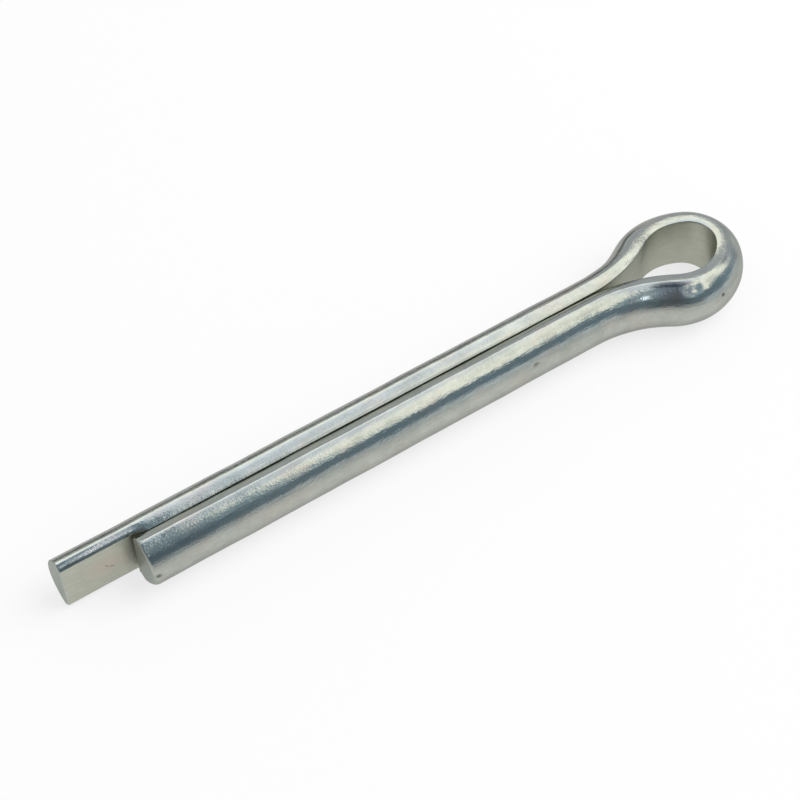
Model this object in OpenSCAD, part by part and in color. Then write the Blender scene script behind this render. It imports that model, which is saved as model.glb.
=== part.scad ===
// Split cotter pin, 4 mm nominal: one length of half-round steel wire, bent double round an
// eye, so that its flat runs inside the eye and the two legs lie flat against flat.
//
// Frame: the origin is on the axis of the closed shank, where the short leg bends out into
// the eye. +X runs along the shank into the eye, +Y from the short leg to the long leg and
// +Z up. The pin lies at rest with its eye level.

/* [Wire] */
// Diameter of the closed shank, over the backs of both legs
shank_d = 3.7; // [3:0.1:5]
// Angle, up from the level of the shank's axis, at which the round back ends in a crease
back_angle = 68.5; // [62:0.5:75]
// Slope of the narrow lands that run from the creases down to the flat, in degrees
land_slope = 25; // [10:1:35]
// Radius of the rounded corners between the lands and the flat
corner_r = 0.2; // [0.1:0.01:0.4]
// Gap left between the flats of the closed legs
leg_gap = 0.13; // [0.05:0.01:0.3]

/* [Legs] */
// Length of the closed shank, from its start at the eye to the end of the short leg
shank_length = 28.8; // [12:0.1:60]
// How much further the long leg reaches
leg_overhang = 3.95; // [1:0.05:8]
// Lean of the long leg's cut end out of square, in degrees
long_cut_lean = -3; // [-8:0.5:8]
// Lean of the short leg's cut end out of square, in degrees
short_cut_lean = -3; // [-8:0.5:8]
// Size of the bevel that breaks the back edge of the long leg's end
long_end_bevel = 0.1; // [0.05:0.05:0.5]
// Size of the bevel that breaks the back edge of the short leg's end
short_end_bevel = 0.2; // [0.05:0.05:0.5]
// How far the long leg's flat stands back beyond the end of the short leg
tip_relief = 0.12; // [0.02:0.02:0.4]

/* [Eye] */
// Half width inside the eye, on the long leg's side
long_half_width = 1.64; // [1.5:0.02:2.4]
// Half width inside the eye, on the short leg's side
short_half_width = 2.02; // [1.5:0.02:2.4]
// Radius of the eye's side next to the long leg, at the flat
long_side_r = 3.05; // [2.5:0.05:8]
// Radius of the eye's side next to the short leg, at the flat
short_side_r = 2.7; // [2.5:0.05:8]
// Radius of the crown of the eye, at the flat
crown_r = 1.4; // [0.8:0.05:1.5]
// Radius of the necks, which bend each leg out into the eye, at the flat
neck_r = 9.15; // [4:0.05:14]

/* [Hidden] */
$fn = 96;

// Each flat stands off the shank's axis by half the gap
shank_r = shank_d / 2;
flat_y = leg_gap / 2;

// Place of the upper crease, and the height at which its land would meet the flat squarely
crease_y = shank_r * cos(back_angle);
crease_z = shank_r * sin(back_angle);
land_foot_z = crease_z - (crease_y - flat_y) * tan(land_slope);

// Height of the centres of the rounded corners. They stand a hair proud, so that they cross
// the flat and the lands cleanly.
corner_z = land_foot_z + corner_r * (sin(land_slope) - 1) / cos(land_slope);
corner_proud = 0.005;

// The necks and the crown are this much fuller than the straight legs and the eye's sides,
// whose ends are tucked into them, so that the wire is one solid
weld = 0.005;
tuck = 0.02;

// Reach of the shapes that trim the wire, well past it
far = 2 * shank_d;

// Angle through which a neck turns to swing the flat out to a half width
function neck_turn(half_width, side_r) = acos(1 - (half_width - flat_y) / (neck_r + side_r));

// Step along X from the centre of the eye's side to the centre of its crown
function crown_step(half_width, side_r) =
    sqrt(pow(side_r - crown_r, 2) - pow(side_r - half_width, 2));

// Angle, at the crown's centre, of the place where the eye's side runs into the crown
function crown_angle(half_width, side_r) =
    atan2(side_r - half_width, crown_step(half_width, side_r));

// Length along X from the start of a neck to the crown's centre
function eye_run(half_width, side_r) =
    (neck_r + side_r) * sin(neck_turn(half_width, side_r)) + crown_step(half_width, side_r);

// The crown's centre lies on the shank's axis, where the short leg's bends put it
crown_x = eye_run(short_half_width, short_side_r);

// Section of the wire, with its flat on the line x = 0 and its back on the shank's circle.
// The skin thickens it all round.
module wire_section(skin = 0) {
    land_x = corner_r - (corner_r + skin) * sin(land_slope);
    land_z = corner_z + (corner_r + skin) * cos(land_slope);
    flank_x = land_x + far * cos(land_slope);
    flank_z = land_z + far * sin(land_slope);
    intersection() {
        translate([-flat_y, 0])
            circle(r = shank_r + skin);
        polygon([
            [-skin, corner_z],
            [corner_r, corner_z],
            [land_x, land_z],
            [flank_x, flank_z],
            [flank_x, -flank_z],
            [land_x, -land_z],
            [corner_r, -corner_z],
            [-skin, -corner_z]
        ]);
    }
    for (side = [-1, 1])
        translate([corner_r, side * corner_z])
            circle(r = corner_r + corner_proud + skin);
}

// Bend of the wire round the origin, from one angle to another, with its flat on the inside
module inward_bend(flat_r, from_angle, to_angle, skin = 0) {
    rotate([0, 0, from_angle])
        rotate_extrude(angle = to_angle - from_angle)
            translate([flat_r, 0])
                wire_section(skin);
}

// Bend of the wire round the origin, from one angle to another, with its flat on the outside
module outward_bend(flat_r, from_angle, to_angle, skin = 0) {
    rotate([0, 0, from_angle])
        rotate_extrude(angle = to_angle - from_angle)
            translate([flat_r, 0])
                rotate(180)
                    wire_section(skin);
}

// What the cut takes off a leg that comes along -X to the origin: all beyond the cut's plane,
// which leans about the Y axis, and a bevel off the edge of the round back
module cut_off(lean, bevel) {
    rotate([0, lean, 0])
        difference() {
            translate([-far, -far, -far])
                cube([far + 1.5 * bevel, 2 * far, 2 * far]);
            rotate([0, 90, 0])
                cylinder(h = 2 * bevel, r1 = shank_r - bevel, r2 = shank_r + bevel);
        }
}

// Straight leg on the +Y side, from its cut end to just past the start of its neck
module leg(reach, neck_x, cut_lean, bevel) {
    spare = shank_r;
    difference() {
        translate([-reach - spare, flat_y, 0])
            rotate([90, 0, 90])
                linear_extrude(height = reach + spare + neck_x + tuck)
                    wire_section();
        translate([-reach, 0, 0])
            cut_off(cut_lean, bevel);
    }
}

// Neck and side of the eye on the +Y side
module eye_half(neck_x, half_width, side_r) {
    turn = neck_turn(half_width, side_r);
    tuck_angle = tuck / side_r * 180 / PI;
    translate([neck_x, flat_y + neck_r, 0])
        outward_bend(neck_r, -90, turn - 90, weld);
    translate([crown_x - crown_step(half_width, side_r), half_width - side_r, 0])
        inward_bend(side_r, crown_angle(half_width, side_r) - tuck_angle, turn + 90 + tuck_angle);
}

// Long leg and its half of the eye, which start further into the eye where it is slimmer.
// Beyond the short leg's end the long leg's flat stands back by the relief.
module long_half() {
    reach = shank_length + leg_overhang;
    neck_x = crown_x - eye_run(long_half_width, long_side_r);
    difference() {
        leg(reach, neck_x, long_cut_lean, long_end_bevel);
        translate([-shank_length - far - leg_overhang, flat_y + tip_relief - far, -far])
            cube([far + leg_overhang, far, 2 * far]);
    }
    eye_half(neck_x, long_half_width, long_side_r);
}

// Short leg and its half of the eye
module short_half() {
    mirror([0, 1, 0]) {
        leg(shank_length, 0, short_cut_lean, short_end_bevel);
        eye_half(0, short_half_width, short_side_r);
    }
}

// The whole wire, from the long leg's end round the crown to the short leg's end
module cotter_pin() {
    color([0.72, 0.74, 0.73]) {
        long_half();
        short_half();
        translate([crown_x, 0, 0])
            inward_bend(
                crown_r,
                -crown_angle(short_half_width, short_side_r),
                crown_angle(long_half_width, long_side_r),
                weld
            );
    }
}

cotter_pin();
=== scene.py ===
"""Split cotter pin of half-round wire, lying on a pale table in a light tent.

The wire is one surface: its section is carried along the line of its flat, from the long
leg's cut end, round the eye, to the short leg's cut end. Sizes are in millimetres until a
mesh is made, and in metres from there on.
"""
import logging
import math
from dataclasses import dataclass, field
from enum import Enum

import bpy
import numpy as np
from mathutils import Matrix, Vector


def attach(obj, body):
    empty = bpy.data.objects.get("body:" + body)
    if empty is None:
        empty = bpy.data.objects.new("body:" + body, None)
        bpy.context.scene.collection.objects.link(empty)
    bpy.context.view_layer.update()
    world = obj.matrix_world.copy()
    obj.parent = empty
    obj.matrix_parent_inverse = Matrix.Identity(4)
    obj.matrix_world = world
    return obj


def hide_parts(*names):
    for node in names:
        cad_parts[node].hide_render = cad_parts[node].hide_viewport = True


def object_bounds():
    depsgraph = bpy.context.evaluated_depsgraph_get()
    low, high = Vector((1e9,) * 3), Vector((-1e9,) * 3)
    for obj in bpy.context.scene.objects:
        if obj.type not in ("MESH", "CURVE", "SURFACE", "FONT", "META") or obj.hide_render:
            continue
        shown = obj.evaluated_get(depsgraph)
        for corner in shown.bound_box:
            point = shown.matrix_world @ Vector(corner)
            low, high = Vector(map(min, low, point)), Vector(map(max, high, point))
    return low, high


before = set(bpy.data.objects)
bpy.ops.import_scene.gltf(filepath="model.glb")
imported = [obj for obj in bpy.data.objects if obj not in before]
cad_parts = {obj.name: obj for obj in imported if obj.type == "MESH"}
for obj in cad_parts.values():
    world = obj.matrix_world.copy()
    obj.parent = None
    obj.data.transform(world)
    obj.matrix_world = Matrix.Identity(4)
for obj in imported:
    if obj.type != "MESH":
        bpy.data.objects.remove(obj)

CAD_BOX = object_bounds()
MM = 0.001

Triple = tuple[float, float, float]
Span = tuple[float, float]

log = logging.getLogger("cotter_pin")


def link(made: bpy.types.Object) -> bpy.types.Object:
    """Puts a new object into the scene, and returns it."""
    bpy.context.scene.collection.objects.link(made)
    return made


def show_in_reflections_only(made: bpy.types.Object) -> None:
    """Hides an object from every ray but the glossy ones.

    Args:
        made: The object.
    """
    made.visible_camera = False
    made.visible_diffuse = False
    made.visible_shadow = False
    made.visible_transmission = False


def soft_step(value: np.ndarray, low: float | np.ndarray,
              high: float | np.ndarray) -> np.ndarray:
    """Smooth step from 0 at low to 1 at high, either way round: t squared times (3 - 2 t)."""
    t = np.clip((value - low) / (high - low), 0, 1)
    return t * t * (3 - 2 * t)


def facing(direction: np.ndarray) -> np.ndarray:
    """Turn that points an object's -Z along a direction, with its X level.

    Args:
        direction: Where -Z goes.

    Returns:
        A 3 by 3 matrix with the object's X, Y and Z as its columns.
    """
    back = -direction / np.linalg.norm(direction)
    across = np.cross([0.0, 0.0, 1.0], back)
    across /= np.linalg.norm(across)
    return np.stack([across, np.cross(back, across), back], 1)


def grid_quads(rows: int, columns: int, closed: bool) -> np.ndarray:
    """Corners of the quads over a grid of points, row after row.

    Args:
        rows: Number of rows.
        columns: Number of points in a row.
        closed: Whether the last column joins the first.

    Returns:
        Array of point numbers, four to a quad.
    """
    index = np.arange(rows * columns).reshape(rows, columns)
    right = np.roll(index, -1, axis=1)
    quads = np.stack([index[:-1], index[1:], right[1:], right[:-1]], 2)
    return (quads if closed else quads[:, :-1]).reshape(-1, 4)


def node(tree: bpy.types.NodeTree, kind: str, inputs: dict | None = None,
         **settings: object) -> bpy.types.Node:
    """Adds a node to a tree.

    Args:
        tree: The node tree.
        kind: The node's type, without its "ShaderNode" at the front.
        inputs: Value or linked socket for each input, by the input's name or number.
        settings: The node's own settings, by name.

    Returns:
        The node.
    """
    made = tree.nodes.new("ShaderNode" + kind)
    for name, value in settings.items():
        setattr(made, name, value)
    for name, value in (inputs or {}).items():
        if isinstance(value, bpy.types.NodeSocket):
            tree.links.new(value, made.inputs[name])
        else:
            made.inputs[name].default_value = value
    return made


def math_node(tree: bpy.types.NodeTree, operation: str,
              *values: object) -> bpy.types.NodeSocket:
    """Result of a Math node on numbers or sockets, in the order of its inputs."""
    return node(tree, "Math", dict(enumerate(values)), operation=operation).outputs[0]


def map_range(tree: bpy.types.NodeTree, value: bpy.types.NodeSocket, low: float, high: float,
              to_low: float, to_high: float) -> bpy.types.NodeSocket:
    """Value carried evenly from low..high to to_low..to_high, and held at their ends."""
    return node(tree, "MapRange", {"Value": value, "From Min": low, "From Max": high,
                                   "To Min": to_low, "To Max": to_high}).outputs["Result"]


def mix_colours(tree: bpy.types.NodeTree, share: bpy.types.NodeSocket, first: object,
                second: object) -> bpy.types.NodeSocket:
    """Colour that runs from the first to the second as the share goes from 0 to 1.

    Args:
        tree: The node tree.
        share: The second colour's share.
        first: The first colour, as three numbers or a socket.
        second: The second colour, likewise.

    Returns:
        The mixed colour.
    """
    made = node(tree, "Mix", {"Factor": share}, data_type="RGBA")
    for number, colour in ((6, first), (7, second)):
        if isinstance(colour, bpy.types.NodeSocket):
            tree.links.new(colour, made.inputs[number])
        else:
            made.inputs[number].default_value = (*colour, 1)
    return made.outputs[2]


def new_material(name: str) -> tuple[bpy.types.Material, bpy.types.NodeTree]:
    """Makes an empty material.

    Args:
        name: The material's name.

    Returns:
        The material and its node tree, which has no nodes yet.
    """
    made = bpy.data.materials.new(name)
    made.use_nodes = True
    made.node_tree.nodes.clear()
    return made, made.node_tree


def finish(tree: bpy.types.NodeTree, surface: bpy.types.NodeSocket) -> None:
    """Leads a shader to the material's output."""
    node(tree, "OutputMaterial", {"Surface": surface})


def seen_rays(tree: bpy.types.NodeTree) -> bpy.types.NodeSocket:
    """Tells the rays that see a surface from those that it lights.

    Args:
        tree: The node tree.

    Returns:
        1 for rays from the camera and for glossy and transmitted rays, 0 for others.
    """
    path = node(tree, "LightPath").outputs
    first = math_node(tree, "MAXIMUM", path["Is Camera Ray"], path["Is Glossy Ray"])
    return math_node(tree, "MAXIMUM", first, path["Is Transmission Ray"])


class Leg(Enum):
    """The two legs of the pin, by the side of the shank on which they lie."""

    LONG = 1
    SHORT = -1


@dataclass(frozen=True)
class RingShape:
    """What changes in the section along the wire, as arrays with one value for each ring.

    Slope is the fall of the land towards the flat and bow the angle through which the land
    bends, both in radians. The radii are the corner's and the crease's, and relief is how far
    the flat stands back, in millimetres.
    """

    slope: np.ndarray
    bow: np.ndarray
    corner_r: np.ndarray
    crease_r: np.ndarray
    relief: np.ndarray

    def columns(self) -> tuple[np.ndarray, ...]:
        """The five arrays as columns, so that a ring's value meets all of its points."""
        return tuple(v[:, None] for v in (self.slope, self.bow, self.corner_r, self.crease_r,
                                          self.relief))


@dataclass(frozen=True)
class WireSection:
    """Half-round section of the wire, with a narrow land between its flat and its back.

    The section is drawn in the plane (out, up): out is measured from the flat, square to it,
    and up is +Z. The round back is an arc about the closed shank's axis, which lies at
    out = -flat_y. A land runs down from the crease, where the back ends, to the rounded
    corner of the flat. The section's middle lies at out = middle_out.
    """

    shank_r: float = 1.85
    flat_y: float = 0.065
    back_angle: float = 68.5
    middle_out: float = 0.8
    flat_steps: int = 9
    corner_steps: int = 7
    land_steps: int = 6
    crease_steps: int = 5
    back_steps: int = 50

    def upper_half(self, shape: RingShape) -> np.ndarray:
        """Upper half of the outline, from the middle of the flat to the middle of the back.

        The outline is followed by its normal's angle: a straight flat, an arc of corner_r
        that turns to the land, a land that bends by its bow, a small arc at the crease, and
        the back's arc. The land and the back stop short of the crease by the small arc's
        reach, which is crease_r times the tangent of half its turn. The corner's arc touches
        the flat and the land: its centre lies corner_r times (1 - sin slope) / cos slope
        below the land's foot.

        Args:
            shape: The slope, bow, radii and relief of each ring.

        Returns:
            Array of rings by points by (out, up, normal angle in radians).
        """
        slope, bow, corner_r, crease_r, relief = shape.columns()
        crease = math.radians(self.back_angle)
        crease_out = self.shank_r * math.cos(crease) - self.flat_y
        crease_up = self.shank_r * math.sin(crease)
        foot_up = crease_up - (crease_out - relief) * np.tan(slope)
        centre_up = foot_up + corner_r * (np.sin(slope) - 1) / np.cos(slope)

        share = np.linspace(0, 1, self.flat_steps, endpoint=False)
        flat = np.stack([relief + 0 * share, centre_up * share,
                         math.pi + 0 * share * slope], 2)

        share = np.linspace(0, 1, self.corner_steps + 1)
        turn = math.pi + (slope + bow / 2 - math.pi / 2) * share
        corner = np.stack([relief + corner_r * (1 + np.cos(turn)),
                           centre_up + corner_r * np.sin(turn), turn], 2)

        run, rise = crease_out - corner[:, -1:, 0], crease_up - corner[:, -1:, 1]
        above = np.arctan2(run, -rise) - bow / 2
        middle, half = (above + crease) / 2, (above - crease) / 2
        whole = 1 - crease_r * np.tan(half) / np.hypot(run, rise)
        share = np.linspace(0, 1, self.land_steps + 1)[1:-1] * whole
        swell = bow / 2 * share * (1 - share)
        turn = np.arctan2(run, -rise) + bow * (0.5 - share)
        land = np.stack([corner[:, -1:, 0] + share * run - swell * rise,
                         corner[:, -1:, 1] + share * rise + swell * run, turn], 2)

        share = np.linspace(0, 1, self.crease_steps + 1)
        turn = above + (crease - above) * share
        inset = crease_r / np.cos(half)
        edge = np.stack([crease_out - inset * np.cos(middle) + crease_r * np.cos(turn),
                         crease_up - inset * np.sin(middle) + crease_r * np.sin(turn),
                         turn], 2)

        start = crease - crease_r * np.tan(half) / self.shank_r
        turn = start * np.linspace(1, 0, self.back_steps + 1)[1:]
        back = np.stack([self.shank_r * np.cos(turn) - self.flat_y,
                         self.shank_r * np.sin(turn), turn], 2)
        return np.concatenate([flat, corner, land, edge, back], 1)

    def outline(self, shape: RingShape) -> np.ndarray:
        """Closed outline, from the middle of the flat and upwards.

        Args:
            shape: The slope, bow, radii and relief of each ring.

        Returns:
            The upper half and its mirror image in the flat's middle line, as rings by
            points by (out, up, normal angle).
        """
        upper = self.upper_half(shape)
        lower = upper[:, -2:0:-1] * np.array([1, -1, -1])
        return np.concatenate([upper, lower], 1)


@dataclass(frozen=True)
class EyeSide:
    """One half of the eye: a neck, a side and a part of the crown, all arcs at the flat."""

    half_width: float
    side_r: float
    neck_r: float
    crown_r: float
    flat_y: float

    @property
    def turn(self) -> float:
        """Angle through which the neck swings the flat out, in radians."""
        return math.acos(1 - (self.half_width - self.flat_y) / (self.neck_r + self.side_r))

    @property
    def step(self) -> float:
        """Distance along X from the side's centre to the crown's centre."""
        return math.sqrt((self.side_r - self.crown_r) ** 2
                         - (self.side_r - self.half_width) ** 2)

    @property
    def crown_angle(self) -> float:
        """Angle at the crown's centre at which the side runs into the crown."""
        return math.atan2(self.side_r - self.half_width, self.step)

    @property
    def run(self) -> float:
        """Length along X from the start of the neck to the crown's centre."""
        return (self.neck_r + self.side_r) * math.sin(self.turn) + self.step


@dataclass(frozen=True)
class WireLine:
    """Line that the middle of the wire's flat follows, seen from above."""

    flat_y: float = 0.065
    short_reach: float = 28.8
    long_reach: float = 32.75
    long_half_width: float = 1.64
    short_half_width: float = 2.02
    long_side_r: float = 3.05
    short_side_r: float = 2.7
    crown_r: float = 1.4
    neck_r: float = 9.15

    def side(self, leg: Leg) -> EyeSide:
        """The half of the eye that belongs to a leg."""
        long = leg is Leg.LONG
        return EyeSide(self.long_half_width if long else self.short_half_width,
                       self.long_side_r if long else self.short_side_r,
                       self.neck_r, self.crown_r, self.flat_y)

    def reach(self, leg: Leg) -> float:
        """Length of a leg from the origin to its cut end."""
        return self.long_reach if leg is Leg.LONG else self.short_reach

    @property
    def crown_x(self) -> float:
        """Place of the crown's centre along X."""
        return self.side(Leg.SHORT).run

    def half(self, leg: Leg) -> tuple[np.ndarray, np.ndarray]:
        """Breaks of one half of the line, as lengths and headings.

        Each piece has a length and turns its heading evenly over it. The headings are those
        of the half on the +Y side, from the cut end to the crown's top.

        Args:
            leg: The leg whose half it is.

        Returns:
            Length from the cut end and heading in radians at the ends of the four pieces.
        """
        eye = self.side(leg)
        into_crown = eye.crown_angle - math.pi / 2
        lengths = [0.0,
                   self.reach(leg) + self.crown_x - eye.run,
                   eye.neck_r * eye.turn,
                   eye.side_r * (eye.turn - into_crown),
                   eye.crown_r * (into_crown + math.pi / 2)]
        headings = [0.0, 0.0, eye.turn, into_crown, -math.pi / 2]
        return np.cumsum(lengths), np.array(headings)

    def follow(self, leg: Leg, stations: np.ndarray) -> np.ndarray:
        """Points of one half of the line.

        Inside each piece the heading changes linearly with length, so a piece is a straight
        or an arc, and its points come from its centre and the heading.

        Args:
            leg: The leg whose half it is.
            stations: Lengths along the half, from the cut end.

        Returns:
            The stations' shape with a last axis of (x, y, heading), y on the +Y side.
        """
        eye = self.side(leg)
        ends, headings = self.half(leg)
        piece = np.clip(np.searchsorted(ends, stations, side="right") - 1, 0, 3)
        heading = np.interp(stations, ends, headings)
        neck_x = self.crown_x - eye.run
        side_x, side_y = self.crown_x - eye.step, eye.half_width - eye.side_r
        x = np.choose(piece, [stations - self.reach(leg),
                              neck_x + eye.neck_r * np.sin(heading),
                              side_x - eye.side_r * np.sin(heading),
                              self.crown_x - eye.crown_r * np.sin(heading)])
        y = np.choose(piece, [np.full(stations.shape, self.flat_y),
                              self.flat_y + eye.neck_r * (1 - np.cos(heading)),
                              side_y + eye.side_r * np.cos(heading),
                              eye.crown_r * np.cos(heading)])
        return np.stack([x, y, heading], -1)


@dataclass(frozen=True)
class WireSetting:
    """How bending and cutting have changed the section along the wire.

    Slopes and bows are in degrees, and the rest in millimetres or as shares. Where the long
    leg runs on alone past the short one, its flat stands back and its land is a chamfer. The
    flare, the closing and the crown's thinning run over spans of X; the tip and the spring
    are measured along the leg.
    """

    leg_slope: float = 25.0
    eye_slope: float = 6.0
    tip_slope: float = 39.0
    flare: Span = (1.0, 5.5)
    bow: float = 16.0
    tip_bow: float = 50.0
    corner_r: float = 0.07
    tip_corner_r: float = 0.08
    crease_r: float = 0.15
    long_crease_r: float = 0.30
    tip_relief: float = 0.22
    tip_run: Span = (27.9, 28.75)
    closing: float = 0.03
    closing_run: Span = (3.0, -1.0)
    spring: float = 0.03
    spring_from: float = 18.0
    crown_thinning: float = 0.04
    crown_run: Span = (5.5, 8.0)
    neck_thinning: float = 0.04
    neck_x: float = 3.4
    neck_half: float = 1.3

    def tip(self, leg: Leg, x: np.ndarray) -> np.ndarray:
        """1 where the long leg runs on alone past the short leg's end, 0 elsewhere."""
        return soft_step(-x, *self.tip_run) * (leg is Leg.LONG)

    def shape(self, leg: Leg, x: np.ndarray) -> RingShape:
        """The section's slope, bow, radii and relief at places along the wire.

        Each goes from the leg's value to the tip's with the tip's share, and the slope also
        to the eye's, where the flat's edges flare.

        Args:
            leg: The leg whose half of the wire it is.
            x: Places along X.

        Returns:
            The section's shape, with one ring for each place.
        """
        tip, eye = self.tip(leg, x), soft_step(x, *self.flare)
        slope = (self.leg_slope + (self.eye_slope - self.leg_slope) * eye
                 + (self.tip_slope - self.leg_slope) * tip)
        bow = self.bow + (self.tip_bow - self.bow) * tip
        corner_r = self.corner_r + (self.tip_corner_r - self.corner_r) * tip
        wide = (1 - eye) * (leg is Leg.LONG)
        crease_r = self.crease_r + (self.long_crease_r - self.crease_r) * wide
        return RingShape(np.radians(slope), np.radians(bow), corner_r, crease_r,
                         self.tip_relief * tip)

    def lean_in(self, leg: Leg, x: np.ndarray, reach: float) -> np.ndarray:
        """How far a leg stands nearer the other one.

        Both legs close up behind the neck by a soft step, and the short one springs in
        further, with the square of its share of the way from spring_from to its end.

        Args:
            leg: The leg.
            x: Places along X.
            reach: Length of the leg.

        Returns:
            Distance for each place.
        """
        share = np.clip((-x - self.spring_from) / (reach - self.spring_from), 0, 1)
        return (self.closing * soft_step(x, *self.closing_run)
                + self.spring * share ** 2 * (leg is Leg.SHORT))

    def thinning(self, leg: Leg, x: np.ndarray) -> np.ndarray:
        """Share by which the wire is thinner, in the crown and in the long leg's neck."""
        neck = np.exp(-((x - self.neck_x) / self.neck_half) ** 2) * (leg is Leg.LONG)
        return self.crown_thinning * soft_step(x, *self.crown_run) + self.neck_thinning * neck


@dataclass(frozen=True)
class CutEnd:
    """Sheared end of a leg: its lean in degrees, and the radii of its edge.

    The edge's radius goes by the angle of the surface round the section: 0 is the back, 90
    the top, 180 the flat and -90 the underside. The lean and the edge die away over the run
    behind the face.
    """

    lean: float
    angles: tuple[float, ...]
    radii: tuple[float, ...]
    run: float = 3.0
    round_steps: int = 6
    face_steps: int = 9
    smallest_ring: float = 0.02

    def edge(self, turn: np.ndarray) -> np.ndarray:
        """Radius of the edge at normal angles in radians, straight between the given ones."""
        return np.interp(np.degrees(turn), self.angles, self.radii, period=360)

    def cap(self, first: np.ndarray, edge: np.ndarray, middle_out: float) -> np.ndarray:
        """Rings of the cut face and of its rounded edge, from the face's middle outwards.

        The edge's rings draw in towards the face's middle by (1 - cos t) of the edge's radius
        and run out by sin t of it. The face's rings shrink the outermost of those.

        Args:
            first: The body's first ring, as points by (out, up).
            edge: The edge's radius at each of its points.
            middle_out: Place of the face's middle, out from the flat.

        Returns:
            Rings by points by (length from the cut end, out, up).
        """
        t = np.linspace(0, math.pi / 2, self.round_steps + 1)[1:, None]
        spoke = first - np.array([middle_out, 0.0])
        spoke /= np.linalg.norm(spoke, axis=1)[:, None]
        draw = (edge * (1 - np.cos(t)))[..., None] * spoke
        rim = np.concatenate([(edge * (1 - np.sin(t)))[..., None], first - draw], 2)[::-1]
        middle = np.array([0.0, middle_out, 0.0])
        shrink = np.linspace(self.smallest_ring, 1, self.face_steps, endpoint=False)
        return np.concatenate([middle + (rim[0] - middle) * shrink[:, None, None], rim])


@dataclass(frozen=True)
class Dent:
    """Small round pit in the surface, with its centre in millimetres."""

    place: Triple
    radius: float
    depth: float

    def sink(self, points: np.ndarray) -> np.ndarray:
        """Depth at each point: a bell curve of the distance from the centre."""
        far = np.linalg.norm(points - np.array(self.place), axis=-1)
        return self.depth * np.exp(-(far / self.radius) ** 2)


PITS: dict[str, Dent] = {
    "short leg's flank": Dent((-4.81, -1.76, 0.54), 0.17, 0.05),
    "crown's flank": Dent((6.98, -3.65, 0.59), 0.10, 0.05),
    "short leg's end": Dent((-28.54, -1.80, 0.05), 0.17, 0.04),
    "short leg, by the neck": Dent((-0.15, -1.84, 0.21), 0.08, 0.012),
    "scuff on the eye, middle": Dent((5.15, -2.86, 1.43), 0.28, 0.036),
    "scuff on the eye, front": Dent((5.60, -2.90, 1.50), 0.26, 0.034),
    "scuff on the eye, foot": Dent((5.42, -3.02, 1.37), 0.20, 0.028),
    "scuff on the eye, rear": Dent((4.92, -2.86, 1.33), 0.15, 0.018),
}


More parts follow.
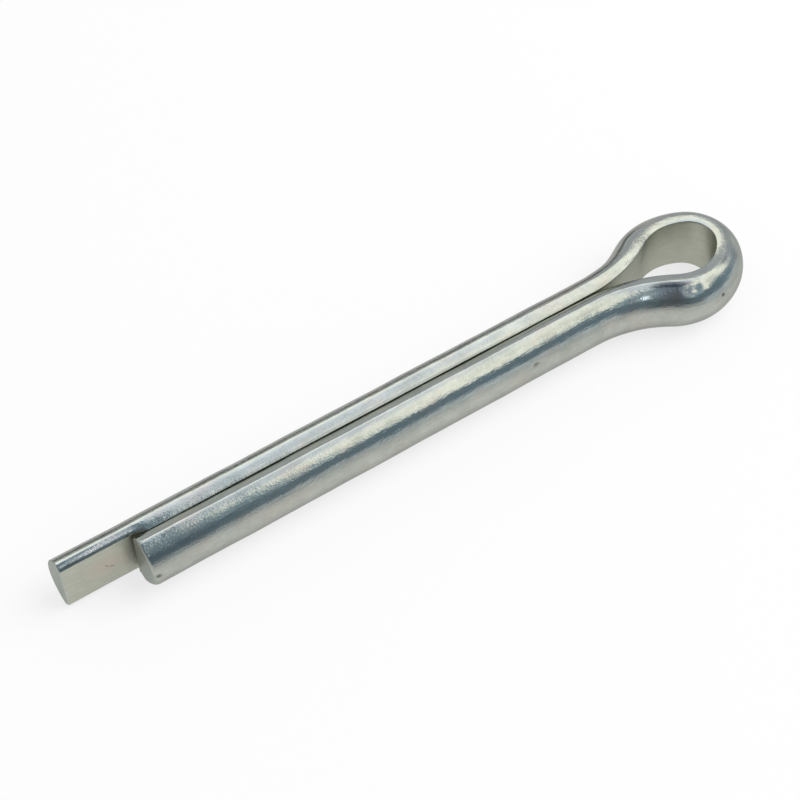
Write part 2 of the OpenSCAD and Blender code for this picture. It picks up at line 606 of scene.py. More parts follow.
@dataclass
class CotterPin:
    """The whole wire as one closed surface.

    Each swell is a size and a pitch in millimetres, a number of turns round the wire and a
    phase. The rings stand ring_step apart, and at the cut ends and in the eye closer, down to
    fine_step. A point counts as inner flat as its normal comes round to the flat's.
    """

    section: WireSection = field(default_factory=WireSection)
    line: WireLine = field(default_factory=WireLine)
    setting: WireSetting = field(default_factory=WireSetting)
    long_end: CutEnd = CutEnd(-3.0, (-170, -120, -75, -20, 40, 70, 130, 170),
                              (0.08, 0.16, 0.18, 0.14, 0.08, 0.06, 0.07, 0.08))
    short_end: CutEnd = CutEnd(-3.0, (-170, -110, -75, -30, 0, 25, 55, 75, 95, 115, 170),
                               (0.08, 0.32, 0.42, 0.38, 0.26, 0.13, 0.09, 0.16, 0.30, 0.14,
                                0.08))
    dents: tuple[Dent, ...] = tuple(PITS.values())
    swells: tuple[tuple[float, float, int, float], ...] = (
        (0.006, 7.3, 1, 0.4), (0.004, 4.1, -2, 2.1), (0.0025, 2.3, 3, 4.0))
    inset: float = 0.008
    swell_run: Span = (0.3, 2.0)
    ring_step: float = 0.22
    fine_step: float = 0.055
    end_fine: float = 0.6
    eye_fine: Span = (11.0, 9.0)
    eye_share: float = 0.5
    density_steps: int = 4000
    flat_turn: Span = (0.93, 0.999)

    def end(self, leg: Leg) -> CutEnd:
        """The cut end of a leg."""
        return self.long_end if leg is Leg.LONG else self.short_end

    def rings(self, leg: Leg) -> np.ndarray:
        """Stations of the rings along one half, from the cut end to the crown's top.

        The rings are ring_step apart, and close up to fine_step at the cut end and in the
        eye. They are the places at which the running sum of their density is whole.

        Args:
            leg: The leg whose half it is.

        Returns:
            The stations, in millimetres.
        """
        whole = self.line.half(leg)[0][-1]
        fine = np.linspace(0, whole, self.density_steps)
        eye_from, eye_to = (whole - reach for reach in self.eye_fine)
        near = (np.exp(-(fine / self.end_fine) ** 2)
                + self.eye_share * soft_step(fine, eye_from, eye_to))
        density = 1 / self.ring_step + (1 / self.fine_step - 1 / self.ring_step) * near
        total = np.concatenate([[0], np.cumsum((density[1:] + density[:-1]) / 2
                                               * np.diff(fine))])
        return np.interp(np.linspace(0, total[-1], int(total[-1]) + 1), total, fine)

    def half_surface(self, leg: Leg) -> tuple[np.ndarray, ...]:
        """Points of one half of the wire, cut end first.

        A point of the section is laid off from the flat's line along the line's normal, and
        up along Z. The rings near the cut end move along the wire by the edge's radius, so
        that the rounded edge fits on, and lean with the face: their X grows by the tangent of
        the lean times Z.

        Args:
            leg: The leg whose half it is.

        Returns:
            Points, outward normals of the body, and places on the straightened wire as
            (length from the cut end, out, up), each as rings by points by 3; and the share
            of the inner flat and of the cut face in each point.
        """
        end, reach = self.end(leg), self.line.reach(leg)
        stations = self.rings(leg)
        at = self.line.follow(leg, stations)[:, 0]
        out, up, turn = np.moveaxis(self.section.outline(self.setting.shape(leg, at)), 2, 0)
        out = out * (1 - self.setting.thinning(leg, at)[:, None])

        edge = end.edge(turn[0])
        fade = np.clip(1 - stations[:, None] / end.run, 0, 1) ** 2
        stations = stations[:, None] + edge * fade
        x, y, heading = np.moveaxis(self.line.follow(leg, stations), 2, 0)
        body = np.stack([x - np.sin(heading) * out, y + np.cos(heading) * out, up], 2)
        facing_out = np.stack([-np.sin(heading) * np.cos(turn),
                               np.cos(heading) * np.cos(turn), np.sin(turn)], 2)
        laid = np.stack([stations, out, up], 2)

        cap = end.cap(np.stack([out[0], up[0]], 1), edge, self.section.middle_out)
        points = np.concatenate([cap + np.array([-reach, self.line.flat_y, 0.0]), body])
        normals = np.concatenate([np.broadcast_to([-1.0, 0.0, 0.0], cap.shape), facing_out])

        near = np.clip(1 - (points[..., 0] + reach) / end.run, 0, 1)
        points[..., 0] += np.tan(math.radians(end.lean)) * points[..., 2] * near
        points[..., 1] -= self.setting.lean_in(leg, points[..., 0], reach)
        side = np.array([1, leg.value, 1])
        body_rings = np.arange(len(points))[:, None] >= len(cap)
        cut = np.where(body_rings, 0.0, 1.0) * np.ones(len(edge))
        flat = np.concatenate([np.zeros(cap.shape[:2]),
                               soft_step(-np.cos(turn), *self.flat_turn)])
        return points * side, normals * side, np.concatenate([cap, laid]), flat, cut

    def surface(self) -> tuple[np.ndarray, ...]:
        """Points of the whole wire, from the long leg's end to the short leg's end.

        Returns:
            Points with the dents sunk in, places on the straightened wire, whose length
            runs on from the long leg's end to the short leg's, and the shares of the inner
            flat and of the cut face.
        """
        long_half = self.half_surface(Leg.LONG)
        short_half = self.half_surface(Leg.SHORT)
        whole = long_half[2][-1, 0, 0] + short_half[2][-1, 0, 0]
        short_half[2][..., 0] = whole - short_half[2][..., 0]
        points, normals, laid, flat, cut = (np.concatenate([a, b[-2::-1]])
                                            for a, b in zip(long_half, short_half))
        sink = sum((dent.sink(points) for dent in self.dents), np.zeros(points.shape[:2]))
        sink = sink - self.unevenness(laid)
        return points - sink[..., None] * normals, laid, flat, cut

    def unevenness(self, laid: np.ndarray) -> np.ndarray:
        """Slight swell of the drawn and bent wire.

        The sum of a few sines of the length along the wire and of whole turns round it, with
        fixed phases, less the inset, by which the whole surface stands back. It fades out at
        the cut ends.

        Args:
            laid: Places on the straightened wire, as (length, out, up).

        Returns:
            Outward shift of each point.
        """
        length, out, up = np.moveaxis(laid, 2, 0)
        round_wire = np.arctan2(up, out - self.section.middle_out)
        fade = (soft_step(length, *self.swell_run)
                * soft_step(length.max() - length, *self.swell_run))
        swell = sum(size * np.sin(2 * math.pi * length / pitch + turns * round_wire + phase)
                    for size, pitch, turns, phase in self.swells)
        return (swell - self.inset) * fade

    def build(self) -> bpy.types.Object:
        """Makes the wire's mesh, closed by a fan at each cut end.

        Returns:
            The wire. Its attributes are wire_place, the place on the straightened wire, and
            the shares inner_flat and cut_face.
        """
        grid, laid, flat, cut = self.surface()
        rings, around = grid.shape[:2]
        verts = np.concatenate([grid.reshape(-1, 3), grid[[0, -1]].mean(1)]) * MM
        index = np.arange(rings * around).reshape(rings, around)
        right = np.roll(index, -1, axis=1)
        first = np.stack([np.full(around, rings * around), index[0], right[0]], 1)
        last = np.stack([np.full(around, rings * around + 1), right[-1], index[-1]], 1)
        quads = grid_quads(rings, around, closed=True)
        mesh = bpy.data.meshes.new("pin_wire")
        mesh.from_pydata(verts.tolist(), [], quads.tolist() + first.tolist() + last.tolist())
        place = mesh.attributes.new("wire_place", "FLOAT_VECTOR", "POINT")
        places = np.concatenate([laid.reshape(-1, 3), laid[[0, -1]].mean(1)])
        place.data.foreach_set("vector", places.astype(np.float32).ravel())
        for name, share in (("inner_flat", flat), ("cut_face", cut)):
            kind = mesh.attributes.new(name, "FLOAT", "POINT")
            values = np.concatenate([share.ravel(), share[[0, -1], 0]])
            kind.data.foreach_set("value", values.astype(np.float32))
        mesh.update()
        mesh.shade_smooth()
        return link(bpy.data.objects.new("pin_wire", mesh))


@dataclass(frozen=True)
class Patch:
    """Soft ellipsoid in which the plate has another colour.

    Its middle and half sizes are in millimetres and its turns in radians. It is full up to
    the share core of its size, and gone at the share rim of it.
    """

    place: Triple
    half: Triple
    colour: Triple = (0.075, 0.080, 0.075)
    strength: float = 1.0
    turn: Triple = (0.0, 0.0, 0.0)
    core: float = 0.35
    rim: float = 1.15

    def laid_over(self, tree: bpy.types.NodeTree, spot: bpy.types.NodeSocket,
                  colour: bpy.types.NodeSocket) -> bpy.types.NodeSocket:
        """Colour with the patch laid over it.

        Args:
            tree: The node tree.
            spot: The place on the pin, in millimetres.
            colour: The colour beneath.

        Returns:
            The mixed colour.
        """
        inside = node(tree, "Mapping", {"Vector": spot, "Location": self.place,
                                        "Rotation": self.turn, "Scale": self.half},
                      vector_type="TEXTURE")
        far = node(tree, "VectorMath", {0: inside.outputs["Vector"]}, operation="LENGTH")
        share = map_range(tree, far.outputs["Value"], self.core, self.rim, self.strength, 0.0)
        return mix_colours(tree, share, colour, self.colour)


# Painted light and shade on the bright plate: a painted dark reflection on the near side of
# the eye with a painted dark line over it, a painted glint on the near neck, a painted
# highlight on the long leg's tip land, and painted shade along the far leg's gap, on the short
# leg's end and at the long leg's tip corner. They stand in for reflections and shade which the
# tent alone doesn't give.
NECK_TURN: Triple = (0.0, 0.0, -0.51)
BLUSH: Triple = (0.585, 0.490, 0.420)
# Painted shade: near black, for the dark line along the long tip's flat edge.
PAINTED_EDGE_SHADE: Triple = (0.10, 0.10, 0.10)
PAINTED_LIGHT_AND_SHADE: dict[str, Patch] = {
    # Painted dark reflection: a dull pinkish patch on the near side of the eye.
    "painted dark reflection on the near side of the eye": Patch(
        (4.30, -2.40, 1.32), (1.25, 0.75, 0.33), (0.50, 0.445, 0.430), 0.65, NECK_TURN, 0.5),
    # Painted dark reflection: a thin dark line over the painted pool.
    "painted dark line over the painted reflection": Patch(
        (4.35, -2.05, 1.615), (1.30, 0.55, 0.08), (0.19, 0.185, 0.19), 0.9, NECK_TURN, 0.7),
    # Painted glint: a near-white spot on the near neck.
    "painted glint on the near neck": Patch(
        (2.70, -1.80, 1.29), (0.30, 0.14, 0.10), (1.0, 1.0, 0.98), 1.0, (0, 0, -0.35), 0.6),
    # Painted highlight: a bright warm strip on the land of the long leg's tip.
    "painted highlight on the long leg's tip land": Patch(
        (-30.3, 0.47, 1.585), (2.3, 0.15, 0.12), (1.0, 0.88, 0.80), core=0.5),
    # Painted shade: a dark strip along the far leg's edge at the gap between the legs.
    "painted shade along the far leg's gap": Patch(
        (-15.5, 0.08, 1.45), (13.5, 0.13, 0.10), (0.23, 0.25, 0.25), 0.6, core=0.6),
    # Painted shade: darkens the top of the short leg towards its end, where the highlight
    # fades.
    "painted shade on the short leg's end": Patch(
        (-28.8, -1.28, 1.24), (6.0, 0.52, 0.50), (0.25, 0.27, 0.265), 0.8, core=0.1),
    # Painted shade: a dark line at the corner of the long leg's tip.
    "painted shade at the long leg's tip corner": Patch(
        (-32.2, 0.36, 1.50), (0.9, 0.12, 0.10), (0.20, 0.21, 0.21), 0.6, core=0.3),
}
STAINS_AND_PAINTED_SHADE: dict[str, Patch] = {
    "warm blush on the long leg's flat": Patch(
        (-30.25, 0.29, 0.15), (1.5, 0.3, 0.95), BLUSH, 0.65, core=0.1),
    # Painted shade: darkens the long leg's flat in the step where the short leg ends.
    "painted shade in the step between the legs": Patch(
        (-28.9, 0.29, 0.1), (0.5, 0.3, 1.5), (0.30, 0.285, 0.26), 0.5, core=0.1),
    # Painted shade: a dark line along the top edge of the long tip's flat.
    "painted shade along the long tip's flat edge": Patch(
        (-31.2, 0.33, 1.42), (2.3, 0.10, 0.06), PAINTED_EDGE_SHADE, 0.6, core=0.3),
    "pit on the short leg's flank": Patch(
        (-4.81, -1.76, 0.54), (0.24, 0.16, 0.13), (0.11, 0.115, 0.10), 0.75),
    "pit on the crown's flank": Patch(
        (6.98, -3.65, 0.59), (0.15, 0.14, 0.13), strength=0.95),
    "pit by the short leg's end": Patch(
        (-28.54, -1.80, 0.05), (0.21, 0.16, 0.15), strength=0.8, turn=(0, 0.5, 0)),
    "speck by the short leg's end": Patch(
        (-28.61, -1.64, 0.75), (0.06, 0.06, 0.05), strength=0.4),
    "pit by the neck": Patch(
        (-0.15, -1.84, 0.21), (0.09, 0.09, 0.08), strength=0.3),
    "scratch on the flat, long stroke": Patch(
        (-30.05, 0.29, -0.16), (0.24, 0.08, 0.030), turn=(0, 0.55, 0)),
    "scratch on the flat, hook": Patch(
        (-30.32, 0.29, 0.02), (0.16, 0.08, 0.035), strength=0.8, turn=(0, 1.0, 0)),
}


@dataclass(frozen=True)
class Pattern:
    """Cloudy pattern in the plate, as noise of a place.

    Its scale is in turns per millimetre along each axis. It has detail finer layers, each of
    rough times the weight of the one before, and as relief it is height millimetres high.
    """

    scale: Triple
    detail: float
    rough: float
    height: float = 0.0

    def at(self, tree: bpy.types.NodeTree,
           spot: bpy.types.NodeSocket) -> bpy.types.NodeSocket:
        """The noise at a spot in millimetres, from 0 to 1 and mostly from 0.3 to 0.7."""
        scaled = node(tree, "Mapping", {"Vector": spot, "Scale": self.scale}).outputs["Vector"]
        return node(tree, "TexNoise", {"Vector": scaled, "Scale": 1.0, "Detail": self.detail,
                                       "Roughness": self.rough}).outputs["Fac"]


@dataclass(frozen=True)
class ZincPlate:
    """Bright zinc plate over drawn wire.

    The plate has clouds of duller and warmer colour and a fine mottle, patches that are worn
    smoother, a grain, streaks and specks in relief, a dull inner flat and a torn cut face.
    Painted light and shade lie over the bright plate: painted dark reflections, a painted
    glint, a painted highlight and painted shade. Over everything lie stain marks and pits, and
    painted shade in the step between the legs and along the long tip's flat edge. The spans
    are those of the noise over which each share runs from none to full.
    """

    light: Triple = (0.496, 0.519, 0.470)
    dark: Triple = (0.428, 0.451, 0.407)
    warm: Triple = (0.495, 0.478, 0.425)
    inner: Triple = (0.525, 0.540, 0.455)
    cut: Triple = (0.510, 0.540, 0.490)
    edge_tint: float = 0.62
    cloud: Pattern = Pattern((0.55, 0.55, 0.55), 5.0, 0.6)
    cloud_span: Span = (0.35, 0.65)
    warmth: Pattern = Pattern((0.6, 0.9, 0.9), 3.0, 0.55)
    warm_span: Span = (0.52, 0.66)
    warm_share: float = 0.8
    fine: Pattern = Pattern((1.3, 3.4, 3.4), 4.0, 0.75)
    fine_span: Span = (0.3, 0.7)
    mottle: float = 0.08
    wear: Pattern = Pattern((1.1, 1.1, 1.1), 4.0, 0.6)
    wear_span: Span = (0.35, 0.65)
    roughness: Span = (0.16, 0.08)
    flat_roughness: float = 0.40
    cut_roughness: float = 0.42
    streak: Pattern = Pattern((0.3, 4.5, 4.5), 3.0, 0.6, 0.009)
    grain: Pattern = Pattern((2.4, 7.0, 7.0), 2.0, 0.7, 0.008)
    speck: Pattern = Pattern((8.5, 8.5, 8.5), 1.0, 0.5, 0.0044)
    # Patches of painted light and shade over the bright plate, then stain marks, pits and some
    # painted shade over everything.
    painted_light_and_shade: tuple[Patch, ...] = tuple(PAINTED_LIGHT_AND_SHADE.values())
    stains_and_painted_shade: tuple[Patch, ...] = tuple(STAINS_AND_PAINTED_SHADE.values())

    def colour(self, tree: bpy.types.NodeTree, spot: bpy.types.NodeSocket,
               wire: bpy.types.NodeSocket, flat: bpy.types.NodeSocket,
               cut: bpy.types.NodeSocket) -> bpy.types.NodeSocket:
        """Colour of the plate.

        Args:
            tree: The node tree.
            spot: The place on the pin, in millimetres.
            wire: The place on the straightened wire.
            flat: Share of the inner flat.
            cut: Share of the cut face.

        Returns:
            The colour.
        """
        cloudy = map_range(tree, self.cloud.at(tree, spot), *self.cloud_span, 0, 1)
        colour = mix_colours(tree, cloudy, self.dark, self.light)
        warm = map_range(tree, self.warmth.at(tree, wire), *self.warm_span, 0, self.warm_share)
        colour = mix_colours(tree, warm, colour, self.warm)
        # Painted light and shade: dark reflections, a glint, a highlight and shade, laid over
        # the bright plate.
        for patch in self.painted_light_and_shade:
            colour = patch.laid_over(tree, spot, colour)
        colour = mix_colours(tree, flat, colour, self.inner)
        colour = mix_colours(tree, cut, colour, self.cut)
        mottle = map_range(tree, self.fine.at(tree, wire), *self.fine_span,
                           1 - self.mottle, 1 + self.mottle)
        colour = node(tree, "VectorMath", {0: colour, "Scale": mottle},
                      operation="SCALE").outputs["Vector"]
        # Stain marks and pits, and painted shade in the step between the legs and along the
        # long tip's flat edge.
        for patch in self.stains_and_painted_shade:
            colour = patch.laid_over(tree, spot, colour)
        return colour

    def material(self) -> bpy.types.Material:
        """Makes the plate's material.

        Returns:
            The material.
        """
        made, tree = new_material("zinc_plate")
        object_place = node(tree, "TexCoord").outputs["Object"]
        spot = node(tree, "Mapping", {"Vector": object_place,
                                      "Scale": (1 / MM,) * 3}).outputs["Vector"]
        wire = node(tree, "Attribute", attribute_name="wire_place").outputs["Vector"]
        flat = node(tree, "Attribute", attribute_name="inner_flat").outputs["Fac"]
        cut = node(tree, "Attribute", attribute_name="cut_face").outputs["Fac"]

        rough = map_range(tree, self.wear.at(tree, spot), *self.wear_span, *self.roughness)
        for share, level in ((flat, self.flat_roughness), (cut, self.cut_roughness)):
            step = math_node(tree, "SUBTRACT", level, rough)
            rough = math_node(tree, "MULTIPLY_ADD", step, share, rough)

        height = math_node(tree, "MULTIPLY", self.streak.at(tree, wire), self.streak.height)
        for pattern, place in ((self.grain, wire), (self.speck, spot)):
            height = math_node(tree, "MULTIPLY_ADD", pattern.at(tree, place), pattern.height,
                               height)
        bump = node(tree, "Bump", {"Height": height, "Strength": 1.0, "Distance": MM})
        shader = node(tree, "BsdfPrincipled", {
            "Base Color": self.colour(tree, spot, wire, flat, cut), "Metallic": 1.0,
            "Roughness": rough, "Specular Tint": (self.edge_tint,) * 3 + (1.0,),
            "Normal": bump.outputs["Normal"]})
        finish(tree, shader.outputs["BSDF"])
        return made


@dataclass(frozen=True)
class Table:
    """White acrylic table under the pin, which keeps the pin's shadow.

    Glow is the share of white glow in what the camera and the reflections see, and dimming is
    what that glow lacks in reflections.
    """

    half: float = 1500.0
    albedo: float = 0.92
    glow: float = 0.72
    dimming: float = 0.11
    gloss_ior: float = 1.45
    gloss_roughness: float = 0.1

    def build(self, height: float) -> bpy.types.Object:
        """Makes the table top.

        To the camera and in reflections the top is part white glow, part lit surface, so
        that it comes out white and still shows the pin's shadow. In the metal's reflections
        it is a little dimmer, and has the gloss of acrylic, which takes over at a flat angle.

        Args:
            height: Height of the table top, in metres.

        Returns:
            The table top.
        """
        h = self.half * MM
        mesh = bpy.data.meshes.new("table")
        mesh.from_pydata([(-h, -h, height), (h, -h, height), (h, h, height), (-h, h, height)],
                         [], [(0, 1, 2, 3)])
        top = link(bpy.data.objects.new("table", mesh))
        made, tree = new_material("table_top")
        lit = node(tree, "BsdfDiffuse", {"Color": (self.albedo,) * 3 + (1.0,)})
        glossy = node(tree, "LightPath").outputs["Is Glossy Ray"]
        level = math_node(tree, "MULTIPLY_ADD", glossy, -self.dimming, 1.0)
        glow = node(tree, "Emission", {"Color": (1, 1, 1, 1), "Strength": level})
        share = math_node(tree, "MULTIPLY", seen_rays(tree), self.glow)
        mix = node(tree, "MixShader", {"Fac": share, 1: lit.outputs["BSDF"],
                                       2: glow.outputs["Emission"]})
        fresnel = node(tree, "Fresnel", {"IOR": self.gloss_ior}).outputs["Fac"]
        flat_on = math_node(tree, "MULTIPLY", fresnel, glossy)
        gloss = node(tree, "BsdfGlossy", {"Color": (1, 1, 1, 1),
                                          "Roughness": self.gloss_roughness})
        coated = node(tree, "MixShader", {"Fac": flat_on, 1: mix.outputs["Shader"],
                                          2: gloss.outputs["BSDF"]})
        finish(tree, coated.outputs["Shader"])
        mesh.materials.append(made)
        return top


@dataclass(frozen=True)
class DarkCard:
    """Dark card laid on the table behind the pin, which draws a line along its far crease.

    Its corners are places (x, y) in millimetres, and it lies lift above the table.
    """

    corners: tuple[tuple[float, float], ...] = ((-50, 15), (10, 15), (75, 120), (-50, 120))
    albedo: float = 0.20
    lift: float = 0.3

    def build(self, height: float) -> bpy.types.Object:
        """Makes the card.

        Args:
            height: Height of the table top, in metres.

        Returns:
            The card. It shows in reflections only.
        """
        mesh = bpy.data.meshes.new("dark_card")
        level = height + self.lift * MM
        mesh.from_pydata([(x * MM, y * MM, level) for x, y in self.corners], [],
                         [tuple(range(len(self.corners)))])
        made, tree = new_material("dark_card")
        matt = node(tree, "BsdfDiffuse", {"Color": (self.albedo,) * 3 + (1.0,)})
        finish(tree, matt.outputs["BSDF"])
        mesh.materials.append(made)
        card = link(bpy.data.objects.new("dark_card", mesh))
        show_in_reflections_only(card)
        return card


@dataclass(frozen=True)
class TentLamp:
    """Small bright patch on the tent's cloth; angles and half widths in degrees."""

    azimuth: float
    elevation: float
    half_wide: float
    half_high: float
    level: float

    def glow(self, azimuth: np.ndarray, elevation: np.ndarray) -> np.ndarray:
        """Brightness that the patch adds: level times a flat-topped bell curve.

        Args:
            azimuth: Azimuths in degrees.
            elevation: Elevations in degrees, of the same shape.

        Returns:
            The brightness at each place.
        """
        off = np.hypot((azimuth - self.azimuth) / self.half_wide,
                       (elevation - self.elevation) / self.half_high)
        return self.level * np.exp(-off ** 4)


@dataclass(frozen=True)
class LightTent:
    """Cloth tent round the table, which is what the bright metal reflects.

    Angles are in degrees: azimuth from -Y towards +X, elevation above the table. The camera
    looks through the cloth. Turns are spans of azimuth and rises spans of elevation, over
    which a part of the cloth's brightness runs softly from none to full.
    """

    radius: float = 220.0
    centre_x: float = -10.0
    steps_round: int = 240
    steps_up: int = 91
    foot_edge: float = -1.0
    wall_azimuths: tuple[float, ...] = (-180, -110, -20, -5, 5, 20, 35, 55, 65, 75, 88, 100,
                                        130, 150, 180)
    wall_levels: tuple[float, ...] = (0.50, 0.40, 0.14, 0.18, 0.24, 0.27, 0.30, 0.34, 0.38,
                                      0.38, 0.47, 0.64, 0.60, 0.62, 0.55)
    foot_azimuths: tuple[float, ...] = (0, 13, 24, 75, 86, 100, 112, 140, 160)
    foot_levels: tuple[float, ...] = (0.45, 0.52, 0.74, 0.76, 0.42, 0.85, 0.60, 0.65, 0.75)
    foot_heights: Span = (2, 6)
    foot_turn: Span = (14, 24)
    foot_soft: float = 2.5
    edge_azimuths: tuple[float, ...] = (12, 20, 35, 43, 55, 60, 65, 76, 79, 82, 92, 98, 128,
                                        140, 150, 165)
    edge_elevations: tuple[float, ...] = (27, 31, 31, 35, 35, 32, 28, 22, 28, 47, 48, 43, 46,
                                          42, 32, 28)
    edge_soft: float = 2.0
    panel_azimuths: tuple[float, ...] = (-12, -3, 4, 9, 14, 18, 24, 30, 40, 60, 90)
    panel_levels: tuple[float, ...] = (0.18, 0.31, 0.50, 0.46, 0.34, 0.46, 1.02, 1.50, 1.54,
                                       1.58, 1.62)
    panel_turn: Span = (-30, -10)
    panel_lean: float = 16.0
    lean_rise: Span = (55, 82)
    back_panel: float = 1.62
    back_turn: Span = (90, 100)
    low_dimming: float = 0.26
    low_rise: Span = (54, 46)
    low_turns: tuple[Span, Span] = ((40, 46), (68, 62))
    high_dimmings: Span = (0.30, 0.14)
    high_rise: Span = (55, 64)
    high_turn: Span = (62, 80)
    fill: float = 1.0
    fill_turn: Span = (-75, -110)
    fill_rise: Span = (20, 45)
    lamps: tuple[TentLamp, ...] = (TentLamp(7.5, 35.5, 1.4, 2.2, 3.0),
                                   TentLamp(10.0, 45.0, 1.8, 3.0, 1.2),
                                   TentLamp(82.0, 22.0, 7.0, 5.0, 0.45))
    lit_levels: Span = (0.45, 1.2)
    front_turns: tuple[Span, Span] = ((-30, 5), (100, 60))
    front_rise: Span = (1, 6)
    cream_rise: Span = (66, 52)
    front_tint: Triple = (0.74, 1.0, 1.23)
    cool_tint: Triple = (0.94, 1.0, 1.12)
    cream_tint: Triple = (1.01, 1.0, 0.945)
    pale_tint: Triple = (0.95, 1.0, 1.13)

    def wall(self, azimuth: np.ndarray, elevation: np.ndarray) -> np.ndarray:
        """Level of the wall: straight between its given azimuths.

        Its foot, where the table's far part shows, has levels of its own. It ends in a soft
        step down, at a height that grows from the first to the second of foot_heights.

        Args:
            azimuth: Azimuths in degrees.
            elevation: Elevations in degrees, of the same shape.

        Returns:
            The level at each place.
        """
        wall = np.interp(azimuth, self.wall_azimuths, self.wall_levels)
        foot = np.interp(azimuth, self.foot_azimuths, self.foot_levels)
        low, high = self.foot_heights
        height = low + (high - low) * soft_step(azimuth, *self.foot_turn)
        above = soft_step(elevation, height - self.foot_soft, height + self.foot_soft)
        return wall + (foot - wall) * (1 - above)

    def panel(self, azimuth: np.ndarray, elevation: np.ndarray) -> np.ndarray:
        """Level of the lit panel: straight between its given azimuths, and even at the back.

        The panel leans, by panel_lean degrees of azimuth at its top. It is dimmer by
        low_dimming in a low field between two azimuths, and by high_dimmings near the top,
        the first in front and the second at the side and back.

        Args:
            azimuth: Azimuths in degrees.
            elevation: Elevations in degrees, of the same shape.

        Returns:
            The level at each place.
        """
        lean = self.panel_lean * soft_step(elevation, *self.lean_rise)
        leant = azimuth - lean * (azimuth < self.back_turn[0])
        level = np.interp(leant, self.panel_azimuths, self.panel_levels)
        level = level + (self.back_panel - level) * soft_step(azimuth, *self.back_turn)
        low = soft_step(elevation, *self.low_rise)
        for turn in self.low_turns:
            low = low * soft_step(azimuth, *turn)
        front, back = self.high_dimmings
        high = front + (back - front) * soft_step(azimuth, *self.high_turn)
        return (level * (1 - self.low_dimming * low)
                * (1 - high * soft_step(elevation, *self.high_rise)))

    def tint(self, azimuth: np.ndarray, elevation: np.ndarray,
             level: np.ndarray) -> np.ndarray:
        """Colour of the cloth at a brightness of one.

        Dark cloth is cool, and more so in front. As it gets lighter it turns to cream, and
        near the top to a pale blue.

        Args:
            azimuth: Azimuths in degrees.
            elevation: Elevations in degrees, of the same shape.
            level: The cloth's levels, of the same shape.

        Returns:
            Array with a last axis of three.
        """
        front = soft_step(elevation, *self.front_rise)
        for turn in self.front_turns:
            front = front * soft_step(azimuth, *turn)
        cream = soft_step(elevation, *self.cream_rise)
        lit = soft_step(level, *self.lit_levels)
        front, cream, lit = (share[..., None] for share in (front, cream, lit))
        cool = front * np.array(self.front_tint) + (1 - front) * np.array(self.cool_tint)
        pale = cream * np.array(self.cream_tint) + (1 - cream) * np.array(self.pale_tint)
        return cool + (pale - cool) * lit

    def glow(self, azimuth: np.ndarray, elevation: np.ndarray) -> np.ndarray:
        """Brightness of the cloth, as red, green and blue.

        The lit panel hangs above the wall: it takes over in a soft step up in elevation, at a
        height that goes by azimuth. A weaker panel on the far left fills the other side, the
        lamps are added, and the sum is tinted.

        Args:
            azimuth: Azimuths in degrees.
            elevation: Elevations in degrees, of the same shape.

        Returns:
            Array with a last axis of three.
        """
        edge = np.interp(azimuth, self.edge_azimuths, self.edge_elevations)
        shown = soft_step(elevation, edge - self.edge_soft, edge + self.edge_soft)
        shown = shown * soft_step(azimuth, *self.panel_turn)
        wall = self.wall(azimuth, elevation)
        level = wall + (self.panel(azimuth, elevation) - wall) * shown
        filled = soft_step(azimuth, *self.fill_turn) * soft_step(elevation, *self.fill_rise)
        level = level + (self.fill - level) * filled
        level = level + sum(lamp.glow(azimuth, elevation) for lamp in self.lamps)
        return level[..., None] * self.tint(azimuth, elevation, level)

    def build(self) -> bpy.types.Object:
        """Makes the tent as a dome, with its brightness as a colour on its points.

        A point's place is the radius times the direction of its azimuth and elevation.

        Returns:
            The tent. It shows in reflections only.
        """
        azimuth, elevation = np.meshgrid(np.linspace(-180, 180, self.steps_round + 1),
                                         np.linspace(self.foot_edge, 90, self.steps_up + 1))
        a, e = np.radians(azimuth), np.radians(elevation)
        points = np.stack([self.centre_x + self.radius * np.cos(e) * np.sin(a),
                           -self.radius * np.cos(e) * np.cos(a),
                           self.radius * np.sin(e)], 2) * MM
        mesh = bpy.data.meshes.new("light_tent")
        mesh.from_pydata(points.reshape(-1, 3).tolist(), [],
                         grid_quads(*points.shape[:2], closed=False).tolist())
        glow = mesh.color_attributes.new("glow", "FLOAT_COLOR", "POINT")
        shade = np.ones((points.shape[0] * points.shape[1], 4), np.float32)
        shade[:, :3] = self.glow(azimuth, elevation).reshape(-1, 3)
        glow.data.foreach_set("color", shade.ravel())
        made, tree = new_material("tent_cloth")
        read = node(tree, "Attribute", attribute_name="glow")
        cloth = node(tree, "Emission", {"Color": read.outputs["Color"]})
        finish(tree, cloth.outputs["Emission"])
        mesh.materials.append(made)
        tent = link(bpy.data.objects.new("light_tent", mesh))
        show_in_reflections_only(tent)
        return tent


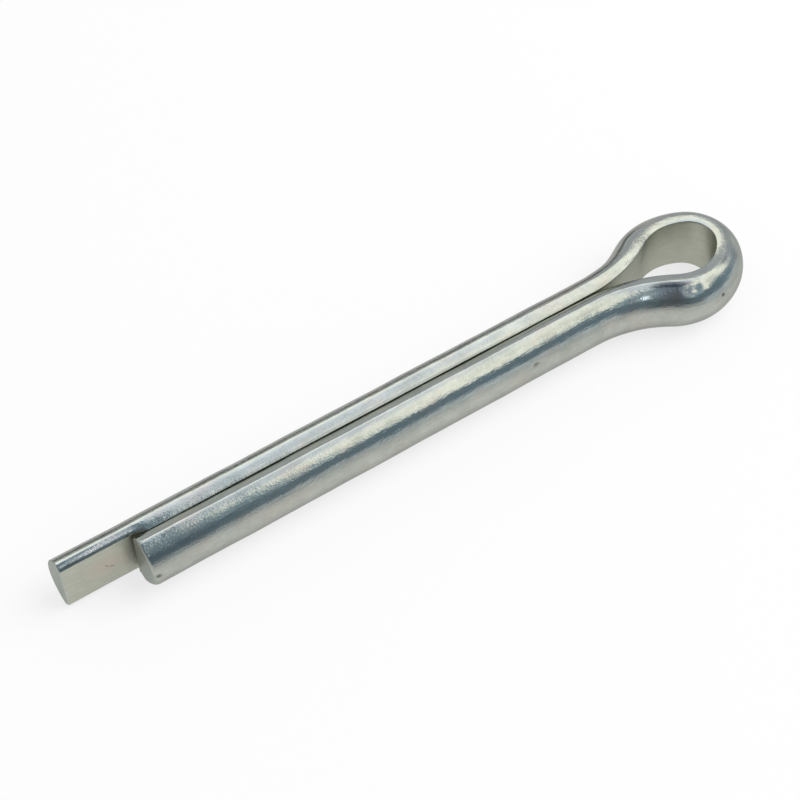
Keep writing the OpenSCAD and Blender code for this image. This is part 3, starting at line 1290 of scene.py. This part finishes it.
@dataclass(frozen=True)
class SoftLight:
    """Soft lamp over the table, and the even light of the room round it."""

    size: float = 500.0
    place: Triple = (260.0, -120.0, 420.0)
    power: float = 1.9
    room: float = 0.6

    def build(self) -> bpy.types.Object:
        """Makes the lamp and the room.

        The room is white to the camera and in reflections, and lights what it falls on at a
        lower level, to which the lamp adds the rest.

        Returns:
            The lamp.
        """
        lamp = bpy.data.lights.new("soft_lamp", "AREA")
        lamp.shape = "SQUARE"
        lamp.size = self.size * MM
        lamp.energy = self.power
        hung = link(bpy.data.objects.new("soft_lamp", lamp))
        place = np.array(self.place) * MM
        hung.location = place
        hung.rotation_euler = Matrix(facing(-place)).to_euler()
        hung.visible_glossy = False
        world = bpy.data.worlds.new("room")
        world.use_nodes = True
        tree = world.node_tree
        tree.nodes.clear()
        strength = map_range(tree, seen_rays(tree), 0, 1, self.room, 1.0)
        light = node(tree, "Background", {"Color": (1, 1, 1, 1), "Strength": strength})
        node(tree, "OutputWorld", {"Surface": light.outputs["Background"]})
        bpy.context.scene.world = world
        return hung


@dataclass(frozen=True)
class Viewpoint:
    """Camera: its place in millimetres, and where it looks, turned about its line of sight."""

    place: Triple = (-54.30330, -55.62303, 79.86938)
    heading: float = 0.64314
    dip: float = 0.84753
    roll: float = -0.02197
    lens: float = 90.0
    sensor: float = 36.0
    clip: Span = (0.001, 10.0)

    def build(self) -> bpy.types.Object:
        """Makes the camera from its right, up and back directions.

        Returns:
            The camera, which the scene looks through.
        """
        level = np.array([math.sin(self.heading), math.cos(self.heading), 0.0])
        right = np.array([math.cos(self.heading), -math.sin(self.heading), 0.0])
        up = np.array([0.0, 0.0, 1.0])
        ahead = math.cos(self.dip) * level - math.sin(self.dip) * up
        down = -math.cos(self.dip) * up - math.sin(self.dip) * level
        across = math.cos(self.roll) * right + math.sin(self.roll) * down
        below = -math.sin(self.roll) * right + math.cos(self.roll) * down
        lens = bpy.data.cameras.new("camera")
        lens.lens = self.lens
        lens.sensor_width = self.sensor
        lens.clip_start, lens.clip_end = self.clip
        camera = link(bpy.data.objects.new("camera", lens))
        turn = Matrix([across, -below, -ahead]).transposed().to_4x4()
        camera.matrix_world = Matrix.Translation([v * MM for v in self.place]) @ turn
        bpy.context.scene.camera = camera
        return camera


def main() -> None:
    """Builds the pin, the table, the light and the camera, and reports each piece."""
    logging.basicConfig(level=logging.INFO, format="%(name)s: %(message)s")
    bpy.context.scene.view_settings.view_transform = "Standard"
    piece = CotterPin().build()
    piece.data.materials.append(ZincPlate().material())
    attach(piece, "root")
    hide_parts("cotter_pin")
    log.info("%s: %d points, %d faces", piece.name, len(piece.data.vertices),
             len(piece.data.polygons))
    floor = CAD_BOX[0][2]
    for made in (Table().build(floor), DarkCard().build(floor), LightTent().build(),
                 SoftLight().build(), Viewpoint().build()):
        log.info("%s", made.name)


if __name__ == "__main__":
    main()
